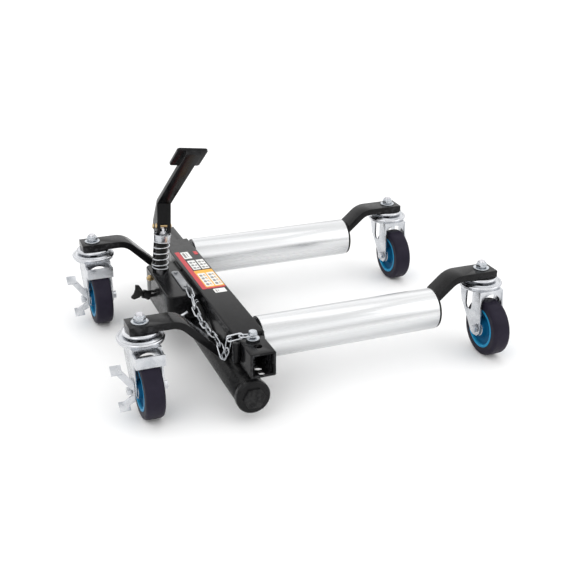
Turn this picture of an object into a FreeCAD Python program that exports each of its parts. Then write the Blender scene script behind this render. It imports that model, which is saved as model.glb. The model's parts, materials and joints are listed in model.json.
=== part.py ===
"""Hydraulic wheel dolly: a parametric assembly of separate pieces, written out as STEP files.

Frame while modelling: millimetres, +Z up from the floor, +X along the rollers away from the main
tube, +Y along the main tube away from its capped near end. The last step moves every piece so that
the origin is the middle of the underside of the whole dolly.
"""
import FreeCAD, Part

import Sketcher
import math
import os
import re

doc = FreeCAD.newDocument("wheel_dolly")
Vector = FreeCAD.Vector
Rotation = FreeCAD.Rotation

# Driving dimensions, in millimetres and degrees. Each is one row of the spreadsheet.
SIZES = {
    # stance: the four caster studs stand on a rectangle
    "stud_x": 307.8, "stud_y": 183.6,
    # casters
    "wheel_radius": 50.0, "wheel_width": 32.0, "trail": 36.8, "hub_half": 19.0,
    "core_radius": 36.0, "core_recess_radius": 28.0, "core_recess": 7.0, "tread_crown": 8.5,
    "bolt_radius": 4.0, "bearing_radius": 11.0,
    "fork_top": 122.0, "fork_plate": 4.0, "fork_ring_radius": 37.8, "leg_inner": 20.5,
    "leg_thickness": 3.0, "crown_front": 40.0, "crown_back": 25.0,
    "strap_reach": 61.0, "strap_bottom": 96.5, "strap_height": 19.0,
    "race_radius": 30.0, "race_height": 6.5, "stud_radius": 6.0, "running_gap": 0.5,
    # bar arms that carry the casters
    "bar_width": 40.0, "bar_thickness": 12.0, "bar_top": 147.3, "bar_end_x": 329.0,
    "bend_start_x": 262.0, "bend_radius": 36.0, "left_slope": 45.0, "right_slope": 41.0,
    # main square tube and the square tubes inside it
    "tube_x": -144.0, "tube_z": 96.2, "tube_size": 51.0, "tube_wall": 4.0,
    "tube_rounding": 2.5,
    "tube_near_y": -231.0, "tube_far_y": 203.0,
    "inner_size": 42.0, "inner_wall": 4.0, "socket_near_y": -296.0, "socket_far_y": -188.0,
    "slide_near_y": -176.0, "slide_far_y": 285.0,
    "pin_y": -248.0, "free_hole_y": -272.0, "hole_radius": 6.75, "pin_radius": 6.4, "drain_radius": 6.0,
    "keeper_radius": 6.3, "keeper_length": 31.0,
    # hydraulic cylinder
    "cylinder_x": -161.0, "cylinder_z": 44.0, "cylinder_radius": 26.3, "cylinder_bore": 23.0,
    "cylinder_near_y": -287.0, "cylinder_far_y": 150.0, "rod_radius": 10.0,
    "cap_radius": 28.0, "cap_face_y": -300.0, "piston_y": -270.0, "rod_end_y": 178.0,
    # rollers
    "roller_y": 187.0, "roller_z": 87.3, "roller_radius": 35.9, "roller_wall": 4.0,
    "roller_left_x": -113.5, "roller_right_x": 208.0, "axle_radius": 10.0,
    "roller_bearing_width": 14.0, "end_gap": 1.0, "disc_radius": 35.0, "disc_thickness": 4.0,
    # pump housing beside the tube
    "housing_left_x": -226.0, "housing_near_y": -45.0, "housing_far_y": 112.0,
    "housing_top_z": 115.0, "housing_bottom_z": 56.0, "housing_rounding": 8.0, "housing_edge": 2.4,
    "filler_y": 72.0, "filler_z": 106.0, "valve_y": 78.0, "valve_z": 68.0, "valve_radius": 3.0,
    "valve_tilt": 22.0,
    # pump column: it leans a little, and the pedal swings in its plane
    "column_x": -204.8, "column_y": 85.9, "column_lean_x": 7.0, "column_lean_y": 3.3,
    "plunger_radius": 8.0, "spring_radius": 13.8, "spring_wire": 1.25, "spring_height": 54.5,
    "cup_radius": 16.0, "cup_height": 12.5, "fulcrum_back": 16.5, "fulcrum_height": 77.0,
    "front_pin_back": -3.2, "front_pin_height": 83.0, "pedal_pin_radius": 3.2,
    "lever_width": 25.4, "lever_sheet": 2.6,
    "lever_length": 197.0, "lever_lean": 51.8, "lever_depth": 8.0, "lever_foot": 71.5,
    "bend_back": 1.3, "bend_up": 123.0, "pad_rounding": 5.0, "pad_width": 52.0, "pad_length": 57.0,
    # small things
    "chain_wire": 1.35, "chain_length": 30.0, "chain_width": 12.5,
    "hose_radius": 3.5,
}

sheet = doc.addObject("Spreadsheet::Sheet", "Sizes")
for row, (alias, value) in enumerate(SIZES.items(), start=1):
    sheet.set("A%d" % row, alias)
    sheet.set("B%d" % row, str(value))
    sheet.setAlias("B%d" % row, alias)
doc.recompute()

probe = doc.addObject("App::FeaturePython", "Probe")
probe.addProperty("App::PropertyFloat", "Value")

PIECES = []


def linked(formula):
    """A formula in aliases, written as the document's own expression."""
    def with_sheet(word):
        name = word.group()
        return "Sizes." + name if name in SIZES else name
    return re.sub(r"[a-z]\w*", with_sheet, str(formula))


def number(formula):
    """What a formula in aliases comes to now."""
    probe.setExpression("Value", linked(formula))
    probe.recompute()
    return probe.Value


def bind(thing, **formulas):
    for name, formula in formulas.items():
        thing.setExpression(name.replace("__", "."), linked(formula))


def place(thing, at, rotation=None):
    """Put a primitive at three formulas, turned by a fixed rotation."""
    if rotation:
        thing.Placement = FreeCAD.Placement(Vector(), rotation)
    for axis, formula in zip("xyz", at):
        thing.setExpression("Placement.Base." + axis, linked(formula))
    return thing


AXIS_TURN = {
    "x": Rotation(Vector(0, 1, 0), 90),
    "y": Rotation(Vector(1, 0, 0), -90),
    "z": Rotation(),
}


def block(low, high):
    """A box between two corners, each given as three formulas."""
    thing = doc.addObject("Part::Box", "Block")
    for side, start, end in zip(("Length", "Width", "Height"), low, high):
        thing.setExpression(side, linked("(%s) - (%s)" % (end, start)))
    return place(thing, low)


def rod(radius, length, at, axis="z"):
    """A cylinder that starts at a point and runs along a row axis."""
    thing = doc.addObject("Part::Cylinder", "Rod")
    bind(thing, Radius=radius, Height=length)
    return place(thing, at, AXIS_TURN[axis])


def prism(sides, radius, length, at, axis="z"):
    thing = doc.addObject("Part::Prism", "Prism")
    thing.Polygon = sides
    bind(thing, Circumradius=radius, Height=length)
    return place(thing, at, AXIS_TURN[axis])


def cone(radius1, radius2, length, at, axis="z"):
    thing = doc.addObject("Part::Cone", "Cone")
    bind(thing, Radius1=radius1, Radius2=radius2, Height=length)
    return place(thing, at, AXIS_TURN[axis])


def torus(ring, wire, at, axis="z"):
    thing = doc.addObject("Part::Torus", "Torus")
    bind(thing, Radius1=ring, Radius2=wire)
    return place(thing, at, AXIS_TURN[axis])


def ball(radius, where):
    thing = doc.addObject("Part::Sphere", "Ball")
    bind(thing, Radius=radius)
    return place(thing, where)


def joined(*things):
    if len(things) == 1:
        return things[0]
    result = doc.addObject("Part::MultiFuse", "Joined")
    result.Shapes = list(things)
    result.Refine = True
    return result


def group(*things):
    """Separate solids kept together in one piece."""
    result = doc.addObject("Part::Compound", "Group")
    result.Links = list(things)
    return result


def posed(placement, *things):
    """Things built in a frame of their own, turned and moved together to their place."""
    result = group(*things)
    result.Placement = placement
    return result


def cut(base, *tools):
    result = doc.addObject("Part::Cut", "Cut")
    result.Base = base
    result.Tool = joined(*tools)
    result.Refine = True
    return result


def rounded(base, radius, chosen):
    """Fillet the edges that a test picks."""
    doc.recompute()
    picked = [n for n, edge in enumerate(base.Shape.Edges, start=1) if chosen(edge)]
    result = doc.addObject("Part::Fillet", "Rounded")
    result.Base = base
    result.Edges = [(n, radius, radius) for n in picked]
    return result


def runs_along(axis):
    """A test for the edges that run along one axis."""
    return lambda edge: abs(getattr(edge.tangentAt(edge.FirstParameter), axis)) > 0.9


def piece(name, thing, placement=None):
    """Name a finished sub-part, and place it if it was built in a frame of its own."""
    thing.Label = name
    if placement:
        thing.Placement = placement
    PIECES.append(thing)
    return thing


def outline(body, role, points):
    """A closed sketch of straight lines through points, each pinned by two driven distances."""
    plane = [f for f in body.Origin.OriginFeatures if f.Role == role][0]
    sketch = body.newObject("Sketcher::SketchObject", "Outline")
    sketch.AttachmentSupport = (plane, "")
    sketch.MapMode = "FlatFace"
    places = [Vector(number(u), number(v), 0) for u, v in points]
    count = len(places)
    for n in range(count):
        sketch.addGeometry(Part.LineSegment(places[n], places[(n + 1) % count]), False)
    for n in range(count):
        sketch.addConstraint(Sketcher.Constraint("Coincident", n, 2, (n + 1) % count, 1))
    for n, (u, v) in enumerate(points):
        for kind, formula, now in (("DistanceX", u, places[n].x), ("DistanceY", v, places[n].y)):
            index = sketch.addConstraint(Sketcher.Constraint(kind, -1, 1, n, 1, now))
            sketch.setExpression("Constraints[%d]" % index, linked(formula))
    return sketch


def extruded(role, points, length, middle=True, back=False):
    """A PartDesign pad of an outline on one of the body's own planes."""
    body = doc.addObject("PartDesign::Body", "Body")
    sketch = outline(body, role, points)
    pad = body.newObject("PartDesign::Pad", "Pad")
    pad.Profile = sketch
    pad.Midplane = middle
    pad.Reversed = back
    pad.setExpression("Length", linked(length))
    body.Tip = pad
    return body


def turned(points, role="XZ_Plane", axis="V_Axis"):
    """A PartDesign revolution of an outline about one of its sketch axes."""
    body = doc.addObject("PartDesign::Body", "Body")
    sketch = outline(body, role, points)
    spin = body.newObject("PartDesign::Revolution", "Revolution")
    spin.Profile = sketch
    spin.ReferenceAxis = (sketch, [axis])
    spin.Angle = 360
    body.Tip = spin
    return body


def at(x, y, z, rotation=None):
    return FreeCAD.Placement(Vector(number(x), number(y), number(z)), rotation or Rotation())


# ---------------------------------------------------------------- square tubes and cylinder

def square_tube(size, wall, near_y, far_y):
    """A length of square tube along the frame's own line, with rounded long edges."""
    half = size + "/2"
    inside = "(%s/2 - %s)" % (size, wall)
    outer = block(("tube_x - " + half, near_y, "tube_z - " + half),
                  ("tube_x + " + half, far_y, "tube_z + " + half))
    outer = rounded(outer, number("tube_rounding"), runs_along("y"))
    bore = block(("tube_x - " + inside, near_y + " - 1", "tube_z - " + inside),
                 ("tube_x + " + inside, far_y + " + 1", "tube_z + " + inside))
    return cut(outer, bore)


def make_tubes():
    main = square_tube("tube_size", "tube_wall", "tube_near_y", "tube_far_y")
    piece("main_tube", main)
    through = "inner_size + 4"
    low_z = "tube_z - inner_size/2 - 2"
    socket = cut(square_tube("inner_size", "inner_wall", "socket_near_y", "socket_far_y"),
                 rod("hole_radius", through, ("tube_x", "pin_y", low_z)),
                 rod("hole_radius", through, ("tube_x", "free_hole_y", low_z)),
                 rod("drain_radius", "inner_wall + 4", ("tube_x", "free_hole_y - 16", low_z)))
    slide = cut(square_tube("inner_size", "inner_wall", "slide_near_y", "slide_far_y"),
                rod("hole_radius", through, ("tube_x", "slide_far_y - 22", low_z)))
    piece("slide_tube", slide)
    end_plate = block(("tube_x - inner_size/2", "slide_far_y", "tube_z - inner_size/2"),
                      ("tube_x + inner_size/2", "slide_far_y + 3", "tube_z + inner_size/2"))
    eye = cut(block(("tube_x - 2", "slide_far_y + 3", "tube_z - 12"),
                    ("tube_x + 2", "slide_far_y + 21", "tube_z + 12")),
              rod("5", "8", ("tube_x - 4", "slide_far_y + 12", "tube_z"), "x"))
    piece("slide_end_plate", joined(end_plate, eye))
    foot = ("tube_x - inner_size/2 - keeper_radius", "pin_y", "tube_z - 10")
    post = joined(rod("keeper_radius", "keeper_length", foot), ball("keeper_radius", foot))
    piece("socket_tube", group(socket, post))


def make_cylinder():
    length = "cylinder_far_y - cylinder_near_y"
    axis_x, axis_z = "cylinder_x", "cylinder_z"
    barrel = cut(rod("cylinder_radius", length, (axis_x, "cylinder_near_y", axis_z), "y"),
                 rod("cylinder_bore", length + " + 2", (axis_x, "cylinder_near_y - 1", axis_z), "y"))
    piece("cylinder_barrel", barrel)
    rim = "cylinder_near_y - cap_face_y"
    cap = joined(rod("cap_radius", rim + " - 2.5", (axis_x, "cap_face_y + 2.5", axis_z), "y"),
                 cone("cap_radius - 2.5", "cap_radius", "2.5", (axis_x, "cap_face_y", axis_z), "y"),
                 rod("cylinder_bore", "9", (axis_x, "cylinder_near_y", axis_z), "y"))
    boss = prism(6, "19", "5", (axis_x, "cap_face_y - 4", axis_z), "y")
    piece("cylinder_cap", joined(cap, boss))
    gland = cut(joined(rod("cylinder_radius", "8", (axis_x, "cylinder_far_y", axis_z), "y"),
                       rod("cylinder_bore", "22", (axis_x, "cylinder_far_y - 22", axis_z), "y")),
                rod("rod_radius + 0.06", "34", (axis_x, "cylinder_far_y - 24", axis_z), "y"))
    piece("cylinder_gland", gland)
    piston = cut(rod("cylinder_bore - 0.06", "24", (axis_x, "piston_y", axis_z), "y"),
                 rod("7", "26", (axis_x, "piston_y - 1", axis_z), "y"))
    piece("piston", piston)
    shaft = joined(rod("rod_radius", "rod_end_y - 12 - piston_y - 24",
                       (axis_x, "piston_y + 24", axis_z), "y"),
                   rod("7", "24.5", (axis_x, "piston_y", axis_z), "y"),
                   rod("7", "13", (axis_x, "rod_end_y - 12.5", axis_z), "y"))
    piece("piston_rod", shaft)


# ---------------------------------------------------------------- bar arms and far yoke

def bar_arm(left, sign_y, slope, end_x):
    """A flat bar, level over its caster and bent down towards the frame, and its stud's hole."""
    flip = "-1" if left else "1"
    outer, inner = "bend_radius + bar_thickness/2", "bend_radius - bar_thickness/2"
    top_x = "bend_start_x - (%s)*tan(%s/2)" % (outer, slope)
    low_x = "bend_start_x - (%s)*tan(%s/2)" % (inner, slope)
    low_z = "bar_top - bar_thickness"
    points = [("bar_end_x", low_z), ("bar_end_x", "bar_top"), (top_x, "bar_top"),
              (end_x, "bar_top - (%s - (%s))*tan(%s)" % (top_x, end_x, slope)),
              (end_x, "%s - (%s - (%s))*tan(%s)" % (low_z, low_x, end_x, slope)), (low_x, low_z)]
    arm = extruded("XZ_Plane", [("%s*(%s)" % (flip, x), z) for x, z in points], "bar_width")
    for corner_x, corner_z, radius in ((top_x, "bar_top", outer), (low_x, low_z, inner)):
        x, z = number("%s*(%s)" % (flip, corner_x)), number(corner_z)
        arm = rounded(arm, number(radius), lambda edge: abs(edge.BoundBox.Center.x - x) < 0.01
                      and abs(edge.BoundBox.Center.z - z) < 0.01)
    arm = posed(at("0", "%d*stud_y" % sign_y, "0"), arm)
    hole = rod("stud_radius + 0.3", "bar_thickness + 4",
               ("%s*stud_x" % flip, "%d*stud_y" % sign_y, low_z + " - 2"))
    return arm, hole


def make_arms():
    arm, hole = bar_arm(True, -1, "left_slope", "-cylinder_x - 2")
    barrel = rod("cylinder_radius + 0.05", "bar_width + 20",
                 ("cylinder_x", "-stud_y - bar_width/2 - 10", "cylinder_z"), "y")
    clear = "tube_size/2 + 0.05"
    main = block(("tube_x - (%s)" % clear, "-stud_y - bar_width", "tube_z - (%s)" % clear),
                 ("tube_x + (%s)" % clear, "-stud_y + bar_width", "tube_z + (%s)" % clear))
    piece("arm_near_left", cut(arm, hole, barrel, main))
    behind_disc = "roller_right_x + disc_thickness + 0.3"
    piece("arm_near_right", cut(*bar_arm(False, -1, "right_slope", behind_disc)))
    piece("arm_far_right", cut(*bar_arm(False, 1, "right_slope", behind_disc)))
    piece("arm_far_left", cut(*bar_arm(True, 1, "left_slope", "172")))


def make_yoke(side_plate):
    """The plate under the main tube that ties the far arm, roller, rod and sliding tube together."""
    low = "tube_z - tube_size/2 - 14.5"
    top = "tube_z - tube_size/2 - 2.5"
    plate = block(("-172", "stud_y - bar_width/2", low), ("-117.5", "stud_y + 54", top))
    riser = block(("tube_x - 20", "tube_far_y + 4", top),
                  ("tube_x + 20", "stud_y + 54", "tube_z - inner_size/2"))
    lug = cut(block(("cylinder_x - 16", "rod_end_y - 12", "cylinder_z - 16"),
                    ("cylinder_x + 16", "rod_end_y", low)),
              rod("7.02", "20", ("cylinder_x", "rod_end_y - 16", "cylinder_z"), "y"))
    nut = cut(prism(6, "12", "10", ("cylinder_x", "rod_end_y", "cylinder_z"), "y"),
              rod("7.02", "20", ("cylinder_x", "rod_end_y - 4", "cylinder_z"), "y"))
    piece("far_yoke", group(joined(plate, riser, lug, side_plate), nut))


# ---------------------------------------------------------------- rollers

def make_roller(name, sign):
    y = "%d*roller_y" % sign
    length = "roller_right_x - roller_left_x"
    shell = cut(rod("roller_radius", length, ("roller_left_x", y, "roller_z"), "x"),
                rod("roller_radius - roller_wall", length + " + 2",
                    ("roller_left_x - 1", y, "roller_z"), "x"))
    piece("roller_" + name, shell)
    rings = []
    for start in ("roller_left_x + 1.5", "roller_right_x - 1.5 - roller_bearing_width"):
        rings.append(cut(rod("roller_radius - roller_wall", "roller_bearing_width",
                             (start, y, "roller_z"), "x"),
                         rod("axle_radius + 0.05", "roller_bearing_width + 2",
                             (start + " - 1", y, "roller_z"), "x")))
    piece("roller_bearings_" + name, group(*rings))
    axle = rod("axle_radius", "roller_right_x - roller_left_x + end_gap + 0.5",
               ("roller_left_x - end_gap", y, "roller_z"), "x")
    disc = rod("disc_radius", "disc_thickness - 0.5", ("roller_right_x + 0.5", y, "roller_z"), "x")
    piece("roller_axle_" + name, joined(axle, disc))
    if name == "near":
        plate = block(("tube_x + tube_size/2", y + " - 25", "tube_z - tube_size/2"),
                      ("roller_left_x - end_gap", y + " + 25", "roller_z + 22"))
    else:
        plate = block(("-117.5", "stud_y - bar_width/2", "tube_z - tube_size/2 - 14.5"),
                      ("roller_left_x - end_gap", y + " + 22", "roller_z + 22"))
    return plate


# ---------------------------------------------------------------- casters

def caster(name, side, sign, braked):
    """One swivel caster: its stud and nut, upper race, fork, axle bolt, core, tyre and brake."""
    x = "%d*stud_x" % side
    y = "%d*stud_y" % sign
    axle_y = y + " - trail"
    spot = at(x, y, "0")

    stud = joined(rod("stud_radius", "bar_top + 15 - fork_top + fork_plate + 8",
                      ("0", "0", "fork_top - fork_plate - 8")),
                  rod("race_radius", "race_height",
                      ("0", "0", "bar_top - bar_thickness - race_height")),
                  rod("10", "3", ("0", "0", "fork_top - fork_plate - 8")))
    stud.Placement = spot
    nut = cut(joined(rod("14", "2.4", ("0", "0", "bar_top")),
                     cone("12.5", "10.5", "3", ("0", "0", "bar_top + 2.4")),
                     prism(6, "10.2", "9.5", ("0", "0", "bar_top + 2.4"))),
              rod("stud_radius + 0.03", "20", ("0", "0", "bar_top - 2")))
    nut.Placement = spot

    ring = turned([("stud_radius + running_gap", "fork_top - fork_plate"),
                   ("fork_ring_radius - 3", "fork_top - fork_plate - 3"),
                   ("fork_ring_radius", "fork_top - fork_plate + 0.5"),
                   ("fork_ring_radius", "fork_top"),
                   ("fork_ring_radius - 3", "fork_top + 3"),
                   ("race_radius + 2", "fork_top + 4.5"),
                   ("race_radius - 4", "fork_top + 4.5"),
                   ("race_radius - 6", "fork_top + 3"),
                   ("stud_radius + running_gap", "fork_top + 3")])
    legs = []
    for flank in (-1, 1):
        edge = "leg_inner" if flank > 0 else "-leg_inner - leg_thickness"
        profile = [("crown_back", "fork_top - fork_plate + 1"), ("crown_back", "wheel_radius + 58"),
                   ("18", "wheel_radius + 34"), ("-2", "wheel_radius + 12"),
                   ("-14", "wheel_radius - 4"), ("-20", "wheel_radius - 11.5"),
                   ("-28", "wheel_radius - 14.5"), ("-40", "wheel_radius - 13.5"),
                   ("-47.5", "wheel_radius - 6"), ("-49", "wheel_radius + 6"),
                   ("-46", "wheel_radius + 30"), ("-crown_front - 1", "wheel_radius + 54"),
                   ("-crown_front", "fork_top - fork_plate + 1")]
        leg = extruded("YZ_Plane", profile, "leg_thickness", middle=False)
        leg.Placement = at(edge, "0", "0")
        legs.append(leg)
    shape = joined(ring, *legs)
    crown = block(("-leg_inner - 1", "-crown_front", "fork_top - fork_plate - 2"),
                  ("leg_inner + 1", "crown_back", "fork_top - fork_plate + 1"))
    skirt = cut(joined(block(("-leg_inner - 1", "-crown_front", "wheel_radius + 38"),
                             ("leg_inner + 1", "-crown_front + 2.5", "fork_top - fork_plate")),
                       block(("-leg_inner - 1", "crown_back - 2.5", "wheel_radius + 44"),
                             ("leg_inner + 1", "crown_back", "fork_top - fork_plate"))),
                rod("leg_inner", "100", ("0", "-60", "wheel_radius + 42"), "y"))
    shape = cut(joined(shape, crown, skirt),
                rod("stud_radius + running_gap", "30", ("0", "0", "fork_top - 20")))
    holes = [rod("bolt_radius + 0.05", "60", ("-30", "-trail", "wheel_radius"), "x")]
    if braked:
        ears = [block((edge, "-strap_reach", "strap_bottom"),
                      (edge + " + leg_thickness", "-crown_front + 2",
                       "strap_bottom + strap_height - 2"))
                for edge in ("leg_inner", "-leg_inner - leg_thickness")]
        strap = block(("-leg_inner - leg_thickness", "-strap_reach", "strap_bottom"),
                      ("leg_inner + leg_thickness", "-strap_reach + 2.5",
                       "strap_bottom + strap_height"))
        shape = joined(shape, strap, *ears)
    else:
        holes.append(block(("-30", "-16", "wheel_radius + 34"), ("30", "4", "fork_top - 8")))
        holes.append(rod("10", "60", ("-30", "-6", "wheel_radius + 34"), "x"))
    fork = cut(shape, *holes)

    reach = "leg_inner + leg_thickness"
    head = "-(%s) - %d" % (reach, 11 if braked else 8)
    bolt = joined(rod("bolt_radius", "2*(%s) + 14" % reach,
                      ("-(%s) - 7" % reach, "-trail", "wheel_radius"), "x"),
                  prism(6, "7.5", "5.5", ("%s + 1" % reach, "-trail", "wheel_radius"), "x"),
                  rod("9", "1", (reach, "-trail", "wheel_radius"), "x"),
                  prism(6, "7.5", "6.5", (head, "-trail", "wheel_radius"), "x"))
    piece("caster_fork_" + name, group(fork, bolt), spot)

    half = "wheel_width/2"
    tyre = turned([("core_radius", "-" + half), ("wheel_radius", "-" + half),
                   ("wheel_radius", half), ("core_radius", half)])
    tyre = rounded(tyre, number("tread_crown"),
                   lambda edge: edge.BoundBox.XLength > 1.9 * number("wheel_radius"))
    onto_x = at(x, axle_y, "wheel_radius", AXIS_TURN["x"])
    piece("caster_tyre_" + name, posed(onto_x, tyre))
    recess = "%s - core_recess" % half
    core = turned([("bearing_radius", "-hub_half"), ("bearing_radius + 4", "-hub_half"),
                   ("bearing_radius + 4", "-(%s)" % recess),
                   ("core_recess_radius", "-(%s)" % recess),
                   ("core_recess_radius + 2", "-" + half), ("core_radius", "-" + half),
                   ("core_radius", half), ("core_recess_radius + 2", half),
                   ("core_recess_radius", recess), ("bearing_radius + 4", recess),
                   ("bearing_radius + 4", "hub_half"), ("bearing_radius", "hub_half")])
    piece("caster_core_" + name, core, onto_x)
    flange = "bearing_radius + 3"
    bearing = turned([("bolt_radius + 0.05", "-hub_half - 1"), (flange, "-hub_half - 1"),
                      (flange, "-hub_half"), ("bearing_radius", "-hub_half"),
                      ("bearing_radius", "hub_half"), (flange, "hub_half"),
                      (flange, "hub_half + 1"), ("bolt_radius + 0.05", "hub_half + 1")])
    piece("caster_bearing_" + name, bearing, onto_x)

    if braked:
        hub = block(("-26.6", "-trail - 10.4", "wheel_radius - 15"),
                    ("-24", "-trail + 8", "wheel_radius + 18"))
        upper = extruded("XZ_Plane", [("-24.2", "wheel_radius + 4"), ("-24.2", "wheel_radius + 18"),
                                      ("-43", "wheel_radius + 43"), ("-52", "wheel_radius + 38"),
                                      ("-31", "wheel_radius + 9")], "2.6")
        lower = extruded("XZ_Plane", [("-24.2", "wheel_radius - 3"), ("-31", "wheel_radius - 5"),
                                      ("-45", "wheel_radius - 14"), ("-39", "wheel_radius - 22"),
                                      ("-24.2", "wheel_radius - 15")], "2.6")
        for neck in (upper, lower):
            neck.Placement = at("0", "-trail - 9.1", "0")
        tabs = [posed(at(x0, "-trail - 10", z0, Rotation(Vector(1, 0, 0), -49)),
                      block(("0", "-1.3", "-8"), ("17", "1.3", "8")))
                for x0, z0 in (("-60", "wheel_radius + 45"), ("-50", "wheel_radius - 20"))]
        lever = cut(joined(hub, upper, lower, *tabs),
                    rod("bolt_radius + 0.05", "10",
                        ("-(%s) - 6" % reach, "-trail", "wheel_radius"), "x"))
        piece("caster_brake_" + name, lever, spot)
    return stud, nut


def make_casters():
    """Two casters under each frame; the studs and nuts of one frame share a piece each."""
    for frame, sign in (("near", -1), ("far", 1)):
        left_stud, left_nut = caster(frame + "_left", -1, sign, True)
        right_stud, right_nut = caster(frame + "_right", 1, sign, False)
        piece("caster_studs_" + frame, group(left_stud, right_stud))
        piece("caster_nuts_" + frame, group(left_nut, right_nut))


# ---------------------------------------------------------------- pump housing and its fittings

def make_housing():
    low = ("housing_left_x", "housing_near_y", "tube_z - tube_size/2")
    upper = block(low, ("tube_x - tube_size/2", "housing_far_y", "housing_top_z"))
    lower = block(("housing_left_x", "housing_near_y", "housing_bottom_z"),
                  ("cylinder_x - cylinder_radius - 0.4", "housing_far_y", "tube_z - tube_size/2"))
    body = joined(upper, lower)
    left = number("housing_left_x")
    body = rounded(body, number("housing_rounding"),
                   lambda edge: runs_along("z")(edge) and abs(edge.BoundBox.XMin - left) < 0.1)
    top, right = number("housing_top_z"), number("tube_x - tube_size/2")
    body = rounded(body, number("housing_edge"), lambda edge: edge.BoundBox.ZMin > top - 0.1
                   and edge.BoundBox.XMin < right - 1)
    well = posed(column(0, 0, 0), rod("plunger_radius + 0.06", "80", ("0", "0", "-46")))
    filler = at("housing_left_x", "filler_y", "filler_z", AXIS_TURN["x"])
    slot = posed(filler, rod("1.7", "20", ("0", "0", "-5")))
    stem = "valve_radius + 0.06"
    valve = posed(knob(0), rod(stem, "34", ("0", "0", "-12")))
    collar = joined(rod("8", "13", ("0", "0", "0")), rod("9", "3", ("0", "0", "0")))
    collar = posed(knob(3.4), cut(collar, rod(stem, "40", ("0", "0", "-10"))))
    piece("pump_housing", group(cut(body, well, slot, valve), collar))
    screw = joined(prism(6, "6", "5", ("0", "0", "-5")), rod("3", "3", ("0", "0", "-8")),
                   rod("1.65", "13", ("0", "0", "0")))
    piece("filler_screw", screw, filler)


def column(x, back, up):
    """A placement in the leaning frame of the pump column: across, away from the pedal, and up."""
    lean = Rotation(Vector(0, 1, 0), number("column_lean_x"))
    lean = lean.multiply(Rotation(Vector(1, 0, 0), -number("column_lean_y")))
    base = Vector(number("column_x"), number("column_y"), number("housing_top_z"))
    return FreeCAD.Placement(base + lean.multVec(Vector(x, back, up)), lean)


def knob(out):
    """A placement along the release valve: its Z points out of the housing, left and a little up."""
    turn = Rotation(Vector(0, 1, 0), number("valve_tilt - 90"))
    base = Vector(number("housing_left_x"), number("valve_y"), number("valve_z"))
    return FreeCAD.Placement(base + turn.multVec(Vector(0, 0, out)), turn)


def make_release():
    """The release valve's stem with its winged grip."""
    grip = extruded("XZ_Plane", [("-7", "20"), ("7", "20"), ("14", "29"), ("13", "36"),
                                 ("4", "33"), ("-4", "33"), ("-13", "36"), ("-14", "29")], "7")
    grip = rounded(grip, 1.6, lambda edge: True)
    stem = rod("valve_radius", "36", ("0", "0", "-10"))
    piece("release_knob", joined(stem, rod("5.5", "6", ("0", "0", "17.5")), grip), knob(0))


SPRING_TURNS = 5


def make_column():
    """The post the pedal turns on, and the plunger with its cup, spring and boot."""
    post = joined(block(("-9", "fulcrum_back + 1.2", "-4"),
                        ("9", "fulcrum_back + 7", "fulcrum_height - 7")),
                  block(("-9", "fulcrum_back - 5.5", "fulcrum_height - 7"),
                        ("9", "fulcrum_back + 7", "fulcrum_height + 5")))
    post = cut(post, rod("pedal_pin_radius + 0.05", "30",
                         ("-15", "fulcrum_back", "fulcrum_height"), "x"))
    foot = block(("-10", "fulcrum_back + 1.2", "-4"), ("10", "fulcrum_back + 8.5", "4.5"))
    below = block(("column_x - 40", "column_y - 40", "housing_top_z - 30"),
                  ("column_x + 60", "column_y + 60", "housing_top_z"))
    piece("fulcrum_post", cut(posed(column(0, 0, 0), joined(post, foot)), below))

    plunger = joined(rod("plunger_radius", "spring_height + 34", ("0", "0", "-32")),
                     rod("5.6", "spring_height + 24.4", ("0", "0", "0")))
    piece("plunger", plunger, column(0, 0, 0))
    neck = rod("5.62", "20", ("0", "0", "spring_height - 2"))
    cup = cut(cone("cup_radius - 1.5", "cup_radius", "cup_height", ("0", "0", "spring_height")),
              neck, rod("plunger_radius + 0.02", "4", ("0", "0", "spring_height - 2")))
    piece("spring_cup", cup, column(0, 0, 0))

    rings = []
    gaps = SPRING_TURNS - 1
    for n in range(SPRING_TURNS):
        height = "3.4 + %d*(spring_height - 4.8)/%d" % (n, gaps)
        rings.append(torus("spring_radius", "spring_wire", ("0", "0", height)))
    piece("return_spring", group(*rings), column(0, 0, 0))
    boot = cut(rod("plunger_radius + 3", "spring_height - 7", ("0", "0", "5")),
               rod("plunger_radius + 0.5", "spring_height", ("0", "0", "0")))
    piece("dust_boot", boot, column(0, 0, 0))


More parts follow.
